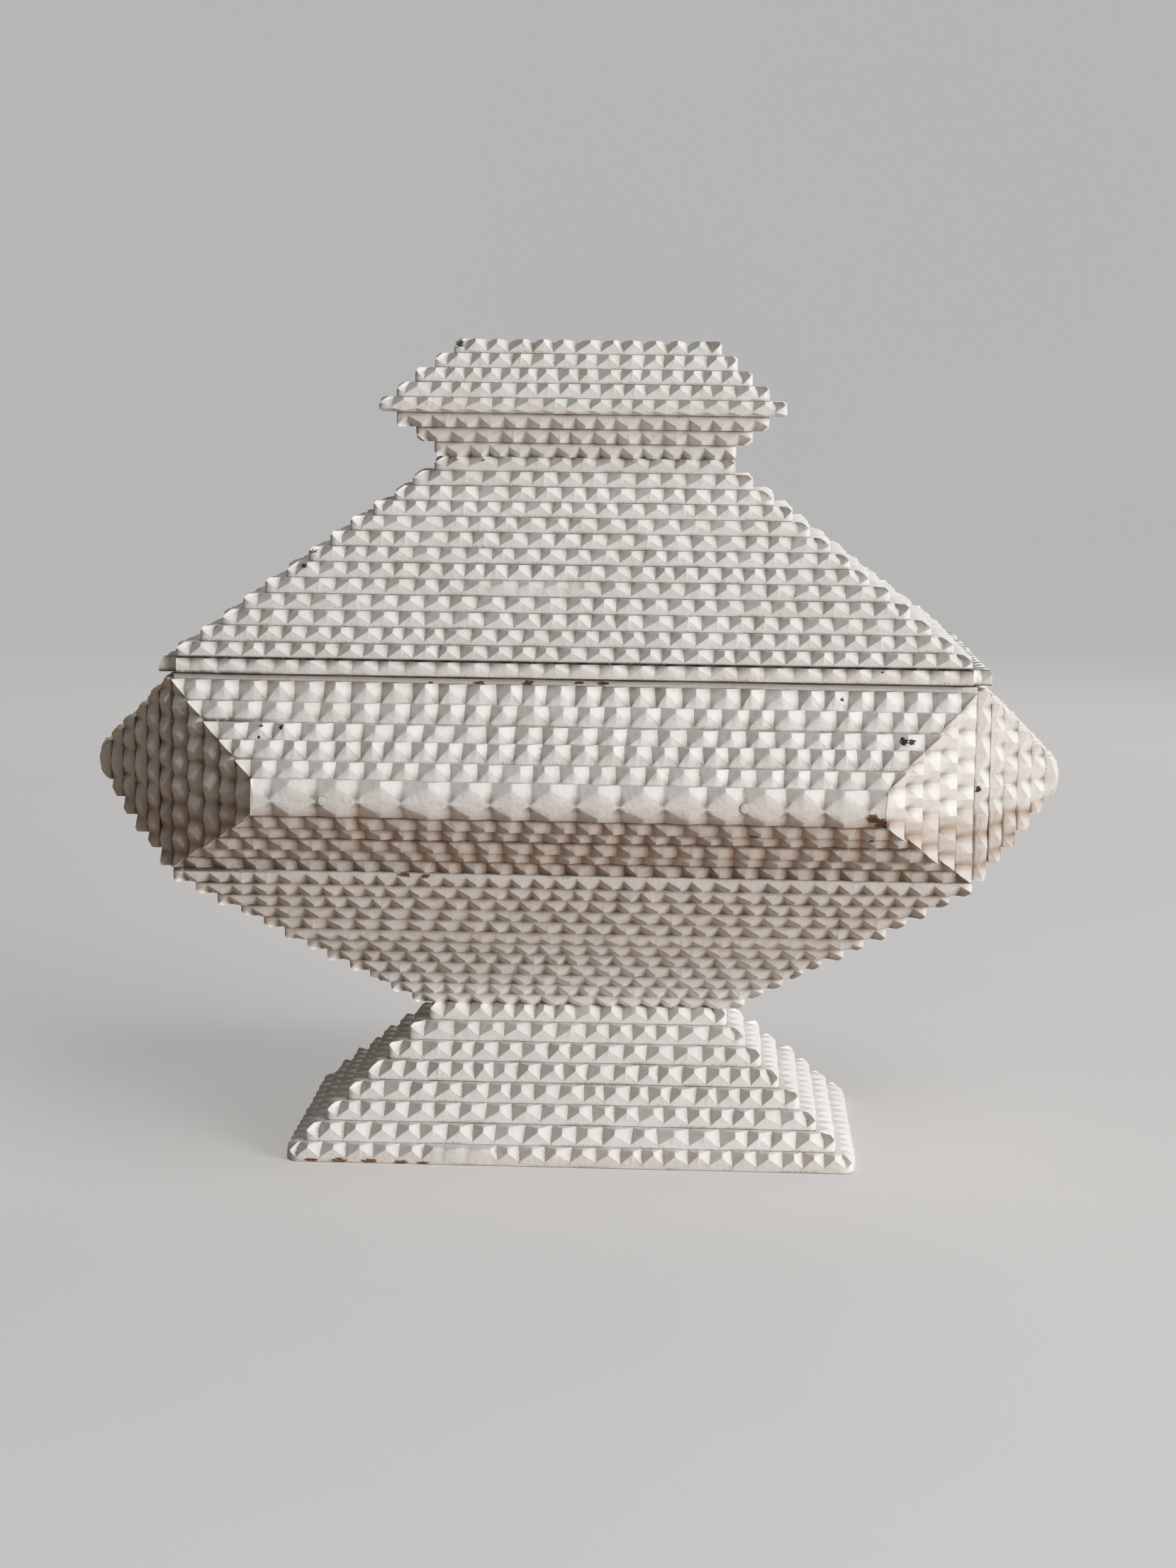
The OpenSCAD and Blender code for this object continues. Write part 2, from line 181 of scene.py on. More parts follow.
def stretched(place, scales):
    """The place stretched by a factor on each axis, for grain and brush marks."""
    return place.add("ShaderNodeVectorMath", {"operation": "MULTIPLY"}, {0: place, 1: scales})


def surface(place, colour, roughness, height, depth, constants):
    """Principled surface with a bump of the given depth in millimetres, joined to the output."""
    bump = place.add("ShaderNodeBump", None, {"Strength": 1.0, "Distance": depth * METRE, "Height": height})
    inputs = {"Base Color": colour, "Roughness": roughness, "Normal": bump, **constants}
    shader = place.add("ShaderNodeBsdfPrincipled", None, inputs)
    place.add("ShaderNodeOutputMaterial", None, {"Surface": shader})


# Colours of the paint, the dirt in it and the wood under it, and of painted light and shade
PAINT_LIGHT = (0.79, 0.785, 0.775)
PAINT_WARM = (0.745, 0.73, 0.705)
FOOT_PAINTED_LIGHT = (0.88, 0.875, 0.865)
GRIME = (0.27, 0.205, 0.135)
HAZE = (0.45, 0.39, 0.32)
POCKET_SHADE_AND_GRIME = (0.20, 0.165, 0.13)
WARM_SHADE = (0.36, 0.235, 0.15)
CREVICE_SHADE_AND_DIRT = (0.085, 0.065, 0.048)
BARE_WOOD = (0.25, 0.125, 0.06)
DARK_GRAIN = (0.11, 0.055, 0.03)
HOLE_DARK_AND_SEAM_SHADOW = (0.035, 0.025, 0.02)

# Where the finish, the painted light and the painted shade change: heights, or x for the left end, at which a
# fade is 0 and 1
FOOT_LIGHT_FADE = (64, 50)
POCKET_SHADE_FADES = ((30, 60), (275, 215))
LOW_ROW_FADES = ((131, 126), (104.5, 107))
BOWL_FADES = ((45, 60), (105, 104))
LEFT_SHADE_FADE = (-85, -118)
BODY_FADE = (174, 170)

# Scars seen in the photograph: x, y, z and radius of each dark hole and each chip down to the wood
HOLES = [
    (108.0, -93.6, 153.3, 1.5), (110.8, -93.6, 153.1, 1.3), (-101.3, -93.0, 154.6, 0.8),
    (-94.8, -93.0, 154.2, 1.0), (-96.9, -93.0, 154.4, 0.6), (133.9, -78.0, 136.0, 1.3),
    (-20.5, -70.9, 189.9, 0.7), (101.2, -82.5, 174.7, 0.6), (76.1, -104.0, 143.4, 0.7),
    (88.3, -83.2, 165.7, 0.9), (-44.4, -6.0, 280.3, 1.8), (-69.6, -25.0, 258.9, 1.8),
    (-101.9, -93.6, 150.9, 0.7),
]
CHIPS = [
    (98.0, -109.0, 129.6, 2.3), (100.5, -109.0, 128.2, 2.7), (102.6, -108.0, 127.0, 1.8),
    (-108.6, -103.0, 142.6, 1.1), (75.0, -59.3, 201.8, 0.7), (98.2, -100.0, 121.3, 1.1),
    (129.0, -82.0, 181.9, 1.4), (131.9, -80.0, 181.1, 1.2),
]
SLIVERS = [
    (112.6, -88.4, 162.2, 0.9), (-31.3, -78.0, 168.5, 0.75), (-15.0, -78.0, 168.8, 0.85),
    (1.7, -78.0, 169.1, 0.6), (9.5, -78.0, 169.0, 0.8), (-47.0, -78.0, 168.3, 0.4),
    (-55.0, -83.0, 104.6, 0.9), (-48.0, -83.0, 104.4, 0.75), (-88.9, -47.8, 209.4, 1.0),
    (-93.1, -53.5, 204.7, 0.9), (-45.4, -14.0, 240.1, 0.7), (-36.0, -14.0, 240.2, 0.6),
    (-89.1, -58.5, 0.7, 0.9), (-79.4, -58.5, 0.5, 1.2), (-69.1, -58.5, 0.7, 1.0),
    (-58.1, -58.5, 0.6, 0.9), (-50.6, -58.5, 0.6, 0.8), (59.7, -102.0, 122.3, 0.7),
]
SCAR_SINK = 0.35
SLIVER_RUN = 0.34


def spots(place, scars, run=1.0):
    """1 and more in the middle of a scar, falling to 0 a little outside its radius; the nearest scar counts.

    A run below 1 draws the scars out along x by its inverse.
    """
    mask = place.add("ShaderNodeValue")
    place = stretched(place, (run, SCAR_SINK, 1.0))
    for x, y, z, radius in scars:
        at = (x * run, y * SCAR_SINK, z)
        away = place.add("ShaderNodeVectorMath", {"operation": "DISTANCE"}, {0: place, 1: at}, "Value")
        settings = {"operation": "MULTIPLY_ADD"}
        mask = mask.largest(away.add("ShaderNodeMath", settings, {0: away, 1: -1.0 / radius, 2: 1.25}))
    return mask


def between(value, rise, fall):
    """1 between two fades, each given as the values where it is 0 and where it is 1."""
    return value.step(*rise) * value.step(*fall)


def layer_marks(place):
    """A board's marks: distance to its base line and to a valley, the tooth's tone, how far in a point is."""
    marks = place.add("ShaderNodeAttribute", {"attribute_name": MARKS})
    base, valley, tone = (place.add("ShaderNodeSeparateColor", None, {0: marks}, i) for i in range(3))
    inner = place.add("ShaderNodeAttribute", {"attribute_name": MARKS}, None, 3)
    return base * BASE_SPAN, valley * BASE_SPAN, tone, inner


def grime(place, colour, base, valley, specks):
    """Specks and haze of dirt along base lines and in some valleys; gives the colour and the specks' mask."""
    patches = noise(place, 0.07, 2.0).step(0.42, 0.66)
    near_base = base.step(2.0, 0.1)
    near_valley = valley.step(1.5, 0.0) * noise(place, 0.11, 2.0).step(0.46, 0.68)
    nearness = (near_base * (patches * 0.7 + 0.3)).largest(near_valley)
    dirt = (specks + nearness * 0.24).step(0.67, 0.77)
    colour = colour_mix(dirt * 0.7, colour, GRIME)
    haze = base.step(1.2, 0.1) * (patches * 0.3 + 0.12) + near_valley * 0.16
    haze = haze.largest(valley.step(2.2, 0.0) * 0.26)
    return colour_mix(haze, colour, HAZE), dirt


def seam_shadows(height, lumps):
    """Mask of two lines of painted shadow round the lid: in the open glue line above its skirt and in the
    parting below it.
    """
    roof_z, skirt_z = node_box("roof_plate_1")[0][2], node_box("lid_skirt")[0][2]
    glue_line_shadow = between(height, (roof_z + 0.72, roof_z + 0.56), (roof_z - 0.35, roof_z - 0.05))
    parting_shadow = between(height, (skirt_z + 0.5, skirt_z + 0.2), (skirt_z - 0.7, skirt_z - 0.3))
    return glue_line_shadow.largest(parting_shadow * 0.8) * lumps.step(0.2, 0.42) * 0.95


def ragged_scars(place):
    """Masks of the chips and of the holes, with edges torn by noise."""
    torn = (noise(stretched(place, (0.6, 1.0, 1.3)), 1.1, 4.0, 0.65) - 0.5) * 2.6
    chipped = spots(place, CHIPS).largest(spots(place, SLIVERS, SLIVER_RUN))
    holed = spots(place, HOLES)
    return [(mask + torn * mask.step(0.0, 0.3)).step(0.42, 0.55) for mask in (chipped, holed)]


def painted_wood():
    """Thick off-white paint: dirt along the base lines, scars of bare wood, and painted light and shade: a
    lighter foot, shade with some grime in the valleys, shade with some dirt in the crevices, shadow in the
    seams round the lid, warm shade under the low rows.
    """
    material, place = new_material("painted_wood")
    base, valley, tone, inner = layer_marks(place)
    across, height = (place.add("ShaderNodeSeparateXYZ", None, {0: place}, i) for i in (0, 2))
    clouds = noise(place, 0.045, 3.0)
    specks = noise(place, 2.9, 2.0, 0.6)
    lumps = noise(place, 0.55, 3.0)
    colour = colour_mix((clouds * 0.6 + tone * 0.4).step(0.3, 0.75), PAINT_LIGHT, PAINT_WARM)
    # Painted light: the paint low on the foot is lighter, standing in for light thrown up from below
    colour = colour_mix(height.step(*FOOT_LIGHT_FADE), colour, FOOT_PAINTED_LIGHT)
    colour, dirt = grime(place, colour, base, valley, specks)
    # Painted shade with some grime: pockets darker up the valleys of the teeth
    valley_shade_and_grime = valley.step(3.2, 0.0) * inner.step(0.3, 0.95) * between(height, *POCKET_SHADE_FADES)
    colour = colour_mix(valley_shade_and_grime * (clouds * 0.8 + 0.3), colour, POCKET_SHADE_AND_GRIME)
    # Painted shade: the low rows and the bowl warmer and darker underneath
    under = between(height, *LOW_ROW_FADES)
    under = under.largest(between(height, *BOWL_FADES) * 0.15)
    colour = colour_mix(under * (valley.step(3.0, 0.0) * 0.4 + 0.3), colour, WARM_SHADE)
    # Painted shade with some dirt: dark lines in the crevices at the base lines, wider on the shaded left end
    # and under the low rows
    crevice_shade_and_dirt = base.step(0.5, 0.05) * (lumps * 1.3 - 0.05) * 0.75
    in_shade = across.step(*LEFT_SHADE_FADE).largest(under * 0.7) * height.step(*BODY_FADE)
    crevice_shade_and_dirt = crevice_shade_and_dirt.largest(base.step(1.5, 0.4) * lumps.step(0.2, 0.5) * in_shade * 0.95)
    colour = colour_mix(crevice_shade_and_dirt, colour, CREVICE_SHADE_AND_DIRT)
    # Painted shadow: black lines in the glue line and the parting round the lid; the same near-black also
    # colours the dark holes
    colour = colour_mix(seam_shadows(height, lumps), colour, HOLE_DARK_AND_SEAM_SHADOW)
    flaked = noise(place, 0.35, 4.0, 0.6).step(0.76, 0.78)
    colour = colour_mix(flaked, colour, BARE_WOOD)
    grain = noise(stretched(place, (0.25, 1.0, 2.4)), 0.8, 3.0).step(0.36, 0.6)
    chipped, holed = ragged_scars(place)
    colour = colour_mix(chipped, colour, colour_mix(grain, DARK_GRAIN, BARE_WOOD))
    colour = colour_mix(holed, colour, HOLE_DARK_AND_SEAM_SHADOW)
    scarred = chipped.largest(holed)
    rough = lumps * 0.16 + 0.42 + dirt * 0.2 + scarred * 0.25
    brush = noise(stretched(place, (0.5, 1.0, 1.6)), 0.9, 2.0)
    relief = lumps * 0.55 + brush * 0.3 + specks * 0.12 - scarred * 1.4 - flaked * 0.8
    surface(place, colour, rough, relief, 0.35, {})
    return material


def bare_wood():
    """Bare cigar-box cedar: fine grain along the boards, with darker streaks and pores."""
    material, place = new_material("bare_wood")
    grain = noise(stretched(place, (0.035, 0.9, 0.9)), 0.6, 5.0, 0.6)
    pores = noise(stretched(place, (0.16, 2.6, 2.6)), 1.0, 2.0)
    stops = [(0.3, (0.20, 0.095, 0.045)), (0.52, (0.33, 0.175, 0.085)), (0.7, (0.42, 0.245, 0.13))]
    colour = grain.add("ShaderNodeValToRGB", {"stops": stops}, {0: grain})
    colour = colour_mix(pores.step(0.6, 0.72) * 0.55, colour, (0.10, 0.05, 0.026))
    surface(place, colour, grain * 0.2 + 0.55, grain * 0.5 - pores * 0.5, 0.12, {})
    return material


def aged_metal(name, bright, dull, pitted):
    """Old hardware: bright metal under dull patches, with dark pits."""
    material, place = new_material(name)
    patches = noise(place, 0.4, 4.0, 0.6)
    pits = noise(place, 1.6, 3.0).step(0.6, 0.72)
    colour = colour_mix(patches.step(0.38, 0.62), bright, dull)
    colour = colour_mix(pits * 0.7, colour, pitted)
    scratches = noise(stretched(place, (0.2, 3.0, 3.0)), 1.2, 2.0)
    rough = patches * 0.3 + 0.25 + pits * 0.2
    surface(place, colour, rough, scratches * 0.5 + patches * 0.5, 0.05, {"Metallic": 1.0})
    return material


def put_mesh(name, points, quads, rims, marks, materials, bare_rims=()):
    """Mesh object from points in millimetres, quads, closing rims and four marks per point.

    The rims are flat faces of many corners. Rims listed in bare_rims take the second material.
    """
    mesh = bpy.data.meshes.new(name)
    loops = np.concatenate([quads.ravel(), *rims]).astype(np.int32)
    sizes = np.concatenate([np.full(len(quads), 4), [len(rim) for rim in rims]])
    starts = np.concatenate([[0], np.cumsum(sizes)[:-1]]).astype(np.int32)
    mesh.vertices.add(len(points))
    mesh.vertices.foreach_set("co", (points * METRE).astype(np.float32).ravel())
    mesh.loops.add(len(loops))
    mesh.loops.foreach_set("vertex_index", loops)
    mesh.polygons.add(len(starts))
    mesh.polygons.foreach_set("loop_start", starts)
    index = np.zeros(len(starts), np.int32)
    index[[len(quads) + i for i in bare_rims]] = 1
    mesh.polygons.foreach_set("material_index", index)
    mesh.update(calc_edges=True)
    attribute = mesh.color_attributes.new(MARKS, "FLOAT_COLOR", "POINT")
    attribute.data.foreach_set("color", marks.astype(np.float32).ravel())
    for material in materials:
        mesh.materials.append(material)
    mesh.shade_smooth()
    mesh.set_sharp_from_angle(angle=math.radians(32))
    piece = bpy.data.objects.new(name, mesh)
    bpy.context.scene.collection.objects.link(piece)
    return piece


# Half a tooth: shares of the way from tip to valley, the share of the depth at each, and that in the valley
RISE = np.array([0.0, 0.07, 0.33, 0.66, 0.93])
RISE_DEPTH = np.array([0.02, 0.075, 0.33, 0.66, 0.928])
VALLEY_DEPTH = 0.985


def tooth_row(length, pitch, rng, corners, cells=None, half=False):
    """Places along one notched side and how deep the notch is at each.

    The depth is a triangle wave with eased tips and valleys: from TIP_SHARE at a tip to 1 in a valley.
    Tips of the given depths sit at both corners, or valleys if half is set; the rest strays at random.
    """
    count = max(1, round(length / pitch)) + half
    widths = 1 + PITCH_STRAY * rng.uniform(-1, 1, count)
    splits = 0.5 + LEAN_STRAY * rng.uniform(-1, 1, count)
    widths, splits = (widths, splits) if cells is None else cells
    over = length / (2 * count - 2) if half else 0.0
    tips = np.concatenate([[0.0], np.cumsum(widths)]) * (length + 2 * over) / widths.sum() - over
    valleys = tips[:-1] + np.diff(tips) * splits
    tip_depth = np.clip(rng.normal(TIP_SHARE, TIP_SPREAD, count + 1), *TIP_LIMITS)
    tip_depth[[0, -1]] = corners
    valley_depth = rng.uniform(*VALLEY_LIMITS, count)
    fall, fall_depth = RISE[:0:-1], RISE_DEPTH[:0:-1]
    left, right = tips[:-1, None], tips[1:, None]
    low, deep = valleys[:, None], valley_depth[:, None]
    low_left, low_right = tip_depth[:-1, None], tip_depth[1:, None]
    s = np.hstack([left + RISE * (low - left), low, right + fall * (low - right)])
    depth = np.hstack([
        low_left + RISE_DEPTH * (deep - low_left),
        low_left + VALLEY_DEPTH * (deep - low_left),
        low_right + fall_depth * (deep - low_right),
    ])
    tone = np.repeat(rng.uniform(0, 1, count), s.shape[1])
    off = np.abs(s - low).ravel()
    s, depth = s.ravel(), depth.ravel()
    lean = np.interp(s, valleys, rng.uniform(-LEAN_IN, LEAN_IN, count))
    columns = np.stack([s, depth, lean, tone, off], 1)
    if half:
        ends = np.stack([np.interp([0.0, length], s, column) for column in columns.T], 1)
        columns = np.concatenate([ends[:1], columns[(s > 0.05) & (s < length - 0.05)], ends[1:]])
    return columns, (widths, splits)


def wave(s, rng):
    """Slow waver of a hand-planed edge: three sines of random phase."""
    lengths = np.array([61.0, 27.0, 11.0])
    phases = rng.uniform(0, 2 * np.pi, 3)
    weights = np.array([0.5, 0.32, 0.18])
    return (np.sin(2 * np.pi * s[:, None] / lengths + phases) * weights).sum(1)


def side_rows(sides, reaches, pitch, rng, aligned, half):
    """The tooth rows of the four sides in one table, with each side's reach and number; reach 0 is uncut."""
    rows = []
    cells = None
    corners = rng.uniform(*CORNER_CUT, 4)
    for side, (length, reach) in enumerate(zip(sides, reaches)):
        shared = (cells[0][::-1], 1 - cells[1][::-1]) if aligned and side == 2 else None
        ends = corners[[side, (side + 1) % 4]]
        columns, used = tooth_row(length, pitch, rng, ends, shared, half)
        cells = used if side == 0 else cells
        cut = 1.0 if reach > 0 else 0.0
        columns[:, 1:3] *= cut
        columns[:, 4] += FAR_OFF - FAR_OFF * cut
        rows.append(np.hstack([columns, np.full((len(columns), 2), (reach, side))]))
    return np.concatenate(rows).T


def mitre_ratios(seat_ring, top_ring):
    """How fast each ring's corner moves along a side as it moves in, at the side's start and at its end."""
    ratios = np.ones((2, 4, 11))
    for way, ends in enumerate((1, -1)):
        ratios[way, :, :4] = (np.roll(seat_ring, ends) / seat_ring)[:, None]
        ratios[way, :, 4:] = (np.roll(top_ring, ends) / top_ring)[:, None]
    return ratios


# Section of a board: least leg of a chamfer, flat left past the notches, gap where opposite notches meet,
# share of the thickness that the notches of a board cut on both faces take, and their lower legs' shares
LEAST_LEG = 0.12
TOP_FLAT = 0.9
MEETING_GAP = 0.06
TWICE_DROP = 0.66
TWICE_LOW = (0.5, 0.4)


def layer_grid(size, reaches, pitch, rng, twice=False, seat=SEAT, aligned=False, half=False, bare_top=False,
               worn=(), rim=2.0, shadow_edge=None):
    """One board, notched along its edges, in its own frame: a across, b up, c out of the face.

    The grid runs round the four sides by a section of eleven points. Each section is the square edge with
    a chamfer whose legs are the notch's drop and reach times the notch depth at that place, so that the
    chamfers make the facets of the teeth. Points slide along the mitre where a reach passes a corner.
    """
    w, d, t = size
    sides = [w, d, w, d]
    s, depth, lean, tone, off, reach, side = side_rows(sides, reaches, pitch, rng, aligned, half)
    side = side.astype(int)
    for where, start, stop, share in worn:
        inside = np.clip(np.minimum(s - start, stop - s) / 2 + 0.5, 0, 1) * (side == where)
        depth = depth * (1 - inside * (1 - share))
    length = np.array(sides)[side][:, None]
    drop = TWICE_DROP * t if twice else (t - VALLEY_LIP) * rng.uniform(*FACE_SHARE)
    legs_in = np.maximum(reach * depth, LEAST_LEG)
    legs_up = np.maximum(drop * depth, LEAST_LEG)
    seat_in = TWICE_LOW[0] * legs_in if twice else np.full_like(s, seat[0])
    seat_up = TWICE_LOW[1] * legs_up if twice else np.full_like(s, seat[1])
    low_face = seat_up + EASE
    high_face = np.maximum(low_face + 0.02, t - legs_up - EASE)
    opposite = np.roll(reaches, 2)
    shares = [r / (r + o) if min(r, o) > 0 else 0.5 for r, o in zip(reaches, opposite)]
    limits = min(w, d) * np.array(shares) - MEETING_GAP
    seat_ring = np.array([(TWICE_LOW[0] * r if twice else seat[0]) + rim for r in reaches])
    top_ring = np.minimum(np.array(reaches) + TOP_FLAT, limits)
    inset = np.stack([seat_ring[side], seat_in + EASE, 0.85 * seat_in, 0.15 * seat_in, 0 * s, 0 * s,
                      0.06 * legs_in, 0.5 * legs_in, 0.94 * legs_in, legs_in + EASE, top_ring[side]], 1)
    inset = np.minimum(inset, limits[side][:, None])
    upper = t - legs_up[:, None] * np.maximum(1 - inset[:, 6:] / legs_in[:, None], 0)
    lower = np.stack([0 * s, 0 * s, 0.15 * seat_up, 0.85 * seat_up, low_face, high_face], 1)
    height = np.hstack([lower, upper])
    base = np.minimum(height, np.maximum(reach[:, None] + 0.35 - inset, 0))
    base = np.where((reach[:, None] > 0) & (not bare_top), base, np.minimum(height, 2.0) + 1.0)
    base = np.where(bare_top, height, base)
    if twice:
        base = np.maximum(reach[:, None] + 0.6 - inset, 0)
    # Painted shadow: on the chosen side the facets' outer edge is marked as a base line, so the crevice shade
    # darkens it
    shaded = (side == shadow_edge)[:, None] & (np.arange(11) < 7)
    base = np.where(shaded, np.minimum(base, 0.35 * (np.arange(11) == 6)), base)
    off = off[:, None] + np.array([3, 3, 3, 2, 1, 0, 0, 0, 0, 0.3, 2])
    mitre = mitre_ratios(seat_ring, top_ring)
    free = s[:, None] + lean[:, None] * inset * (np.arange(11) % 10 > 0)
    creep = 0.001 * (s[:, None] - length / 2)
    along = np.clip(free, inset * mitre[0, side] + creep, length - inset * mitre[1, side] + creep)
    edge = inset + WAVE * wave(s + 97.0 * side, rng)[:, None] * np.exp(-inset / 1.5)
    a = np.choose(side[:, None], [along - w / 2, w / 2 - edge, w / 2 - along, edge - w / 2])
    b = np.choose(side[:, None], [edge - d / 2, along - d / 2, d / 2 - edge, d / 2 - along])
    tone = np.broadcast_to(tone[:, None], base.shape)
    inner = np.clip(inset / np.maximum(reach[:, None], 0.5), 0, 1) * (reach[:, None] > 0)
    marks = np.stack([base / BASE_SPAN, off / BASE_SPAN, tone, inner], -1)
    return np.stack([a, b, height], -1), marks, np.bincount(side)


def round_corners(grid, w, d, radius):
    """Pulls the square corners in to quarter circles of the given radius."""
    far = np.abs(grid[..., :2]) - np.array([w / 2 - radius, d / 2 - radius])
    both = (far > 0).all(-1)
    keep = far.max(-1) / np.maximum(np.hypot(far[..., 0], far[..., 1]), 1e-6)
    flat = np.sign(grid[..., :2]) * (np.array([w / 2, d / 2]) - radius + far * keep[..., None])
    grid[..., :2] = np.where(both[..., None], flat, grid[..., :2])
    return grid


# A board's own axes for each way it faces: across, up and out of the face
FACINGS = {
    "up": ((1, 0, 0), (0, 1, 0), (0, 0, 1)),
    "down": ((1, 0, 0), (0, -1, 0), (0, 0, -1)),
    "front": ((1, 0, 0), (0, 0, 1), (0, -1, 0)),
    "back": ((-1, 0, 0), (0, 0, 1), (0, 1, 0)),
    "right": ((0, 1, 0), (0, 0, 1), (1, 0, 0)),
    "left": ((0, -1, 0), (0, 0, 1), (-1, 0, 0)),
}


def board(name, node, box, facing, reaches, pitch, bare_seat=False, corner=0.0, still=False, **shape):
    """One notched board that fills a box of the frame and faces one way; it stands for its node.

    Its name seeds its random draws, so that each board differs and stays the same in every run.
    """
    rng = np.random.default_rng(sum(ord(c) * (i + 7) for i, c in enumerate(name)))
    axes = np.array(FACINGS[facing], float)
    low, high = np.array(box[0]), np.array(box[1])
    w, d, t = np.abs(axes @ (high - low))
    pitch *= 1 + (0 if shape.get("aligned") else ROW_STRAY * rng.uniform(-1, 1))
    grid, marks, counts = layer_grid((w, d, t), reaches, pitch, rng, **shape)
    if corner:
        grid = round_corners(grid, w, d, corner)
    if not still:
        turn = math.radians(TURN_DEG) * rng.uniform(-1, 1)
        shift = SHIFT * rng.uniform(-1, 1, 2)
        a, b = grid[..., 0].copy(), grid[..., 1].copy()
        grid[..., 0] = a - turn * b + shift[0]
        grid[..., 1] = b + turn * a + shift[1]
    middle = (low + high) / 2
    seat = middle - axes[2] * t / 2
    points = grid @ axes + seat
    around, across = points.shape[:2]
    index = np.arange(around * across).reshape(around, across)
    turned = np.roll(index, -1, 0)
    quads = np.stack([index[:, :-1], turned[:, :-1], turned[:, 1:], index[:, 1:]], -1).reshape(-1, 4)
    rims = [index[::-1, 0], index[:, -1]]
    if shape.get("aligned"):
        near, right, far, left = np.split(index[:, -1], np.cumsum(counts)[:-1])
        far = far[::-1]
        quads = np.concatenate([quads, np.stack([near[:-1], near[1:], far[1:], far[:-1]], -1)])
        rims[1:] = [np.r_[near[-1], right, far[-1]], np.r_[far[0], left, near[0]]]
    materials = [PAINTED, BARE]
    piece = put_mesh(name, points.reshape(-1, 3), quads, rims, marks.reshape(-1, 4), materials,
                     (0,) if bare_seat else ())
    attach(piece, NODE_BODY[node])
    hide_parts(node)
    return piece


def node_points(node):
    """A node's own points in millimetres."""
    mesh = frame["nodes"][node].data
    flat = np.zeros(len(mesh.vertices) * 3, np.float32)
    mesh.vertices.foreach_get("co", flat)
    return flat.reshape(-1, 3).astype(float) / METRE


SIDE_DEPTH = 6.0


def node_box(node, axis=None, sign=0):
    """Lowest and highest corner of a node, or of its points within SIDE_DEPTH of its end on one side."""
    points = node_points(node)
    if axis is not None:
        points = points[sign * points[:, axis] > np.abs(points[:, axis]).max() - SIDE_DEPTH]
    return points.min(0), points.max(0)


LEDGE_GAP = 0.12


def ledges(box, next_box, facing):
    """How far each of the four sides stands out past the next layer's box, less a small gap."""
    a, b, _ = np.array(FACINGS[facing], float)
    low, high = box[0] - next_box[0], box[1] - next_box[1]
    spans = []
    for axis, way in ((b, -1), (a, 1), (b, 1), (a, -1)):
        out = axis * way
        gap = np.where(out > 0, high, np.where(out < 0, low, 0))
        spans.append(abs(gap[np.abs(out) > 0.5][0]) - LEDGE_GAP)
    return spans


def stack(prefix, label, facing, pitch, order, last, extra):
    """A stack of plates, each notched as far in as the next smaller plate allows."""
    for k in order:
        node = f"{prefix}_{k}"
        box = node_box(node)
        following = order[order.index(k) + 1] if order.index(k) + 1 < len(order) else None
        reaches = ledges(box, node_box(f"{prefix}_{following}"), facing) if following else list(last)
        board(f"{label}_{k}", node, box, facing, reaches, pitch, **{"corner": CORNER, **extra.get(k, {})})


def body_layers(nodes, label, sides, axis, pitch):
    """The stepped layers on two opposite sides of the body."""
    for i, node in enumerate(nodes[:-1]):
        for facing, sign in sides:
            box = node_box(node, axis, sign)
            box[0 if sign > 0 else 1][axis] = inner_face(nodes, i, axis) * sign
            following = node_box(nodes[i + 1], axis, sign)
            seat = SIDE_SEAM if axis == 0 and i == 1 else SEAT
            reaches = ledges(box, following, facing)
            # The front layers' left sides carry a painted shadow along their outer edges
            shape = {"seat": seat, "shadow_edge": 3 if facing == "front" else None}
            board(f"{facing}_{label}_{i + 1}", node, box, facing, reaches, pitch, **shape)


def inner_face(nodes, i, axis):
    """Distance from the middle to the seat of layer i on an axis: the face of the layer below it."""
    below = "core_walls" if i == 0 else nodes[i - 1]
    return node_box(below)[1][axis]


# Places where the teeth are shallow: side, start, stop and the share of the depth that is left
FOOT_PATCH = (0, 50.6, 72.1, 0.3)
ROOF_RUB = (0, 71.0, 104.6, 0.55)
BOWL_BAND = [(side, 0.0, 400.0, 0.68) for side in range(4)]

# Corner radius of the lowest layer, reach of the crest's notches as a share of its half depth, open seams
FOOT_CORNER = 5.0
CREST_SHARE = 1.6
BOWL_SEAM = (0.9, 0.5)
ROOF_SEAM = (1.6, 0.95)


